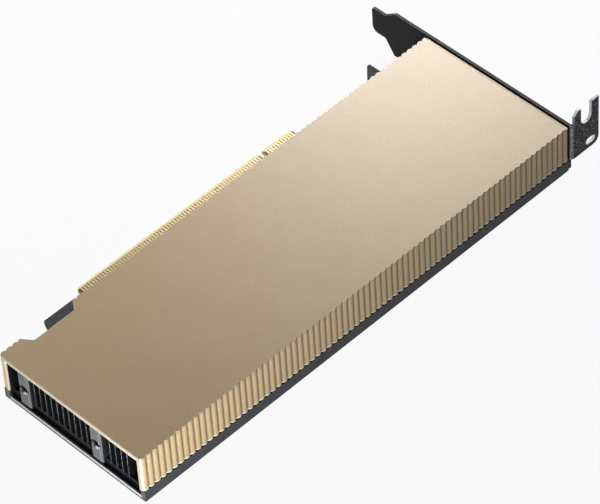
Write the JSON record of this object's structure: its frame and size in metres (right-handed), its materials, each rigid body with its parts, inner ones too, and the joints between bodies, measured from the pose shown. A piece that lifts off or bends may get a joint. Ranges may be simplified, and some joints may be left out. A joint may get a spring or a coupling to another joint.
{
  "type": "passive accelerator card",
  "caption": "Low-profile, single-slot, passively cooled expansion card with a fluted metal shroud, straight-through fins and a folded mounting bracket.",
  "frame": {"origin": "centre of the flat underside of the base tray", "axes": "+X along the card from the open tail end to the mounting bracket, +Y towards the edge connector, +Z from the tray up to the face of the shroud"},
  "size_m": [0.1808, 0.08, 0.0223],
  "materials": {
    "bead_blasted_metal": "fine bead-blasted champagne finish",
    "black_steel": "satin black powder coat",
    "black_bracket": "satin charcoal coat",
    "film": "matt black film",
    "board_black": "black solder mask",
    "gold": "hard gold plating",
    "sink_metal": "blackened aluminium",
    "substrate": "green laminate",
    "ring_metal": "plain nickel-plated frame",
    "silicon": "polished silicon",
    "paste": "grey paste",
    "chip_black": "moulded black epoxy",
    "pad_grey": "soft grey-blue pad",
    "choke_grey": "pressed powder",
    "crystal_can": "nickel-plated can",
    "post_grey": "light grey, bead blasted",
    "screw_steel": "black oxide"
  },
  "bodies": {
    "root": {"shroud": "bead_blasted_metal", "base_tray": "black_steel", "insulating_film": "film", "circuit_board": "board_black", "edge_contacts_upper": "gold", "edge_contacts_lower": "gold", "heatsink_base": "sink_metal", "cooling_fins": "sink_metal", "processor_package": "substrate", "package_ring": "ring_metal", "processor_die": "silicon", "thermal_paste": "paste", "memory_chips": "chip_black", "memory_pads": "pad_grey", "power_inductors": "choke_grey", "inductor_pads": "pad_grey", "power_stages": "chip_black", "power_stage_pads": "pad_grey", "polymer_capacitors": "chip_black", "management_chip": "chip_black", "firmware_chip": "chip_black", "clock_crystal": "crystal_can", "bracket": "black_bracket", "bracket_screws": "screw_steel", "cover_screws": "screw_steel", "post_screws": "screw_steel", "cooler_screws": "screw_steel", "tail_post_1": "post_grey", "tail_post_2": "post_grey", "bracket_post_1": "post_grey", "bracket_post_2": "post_grey"}
  },
  "joints": []
}
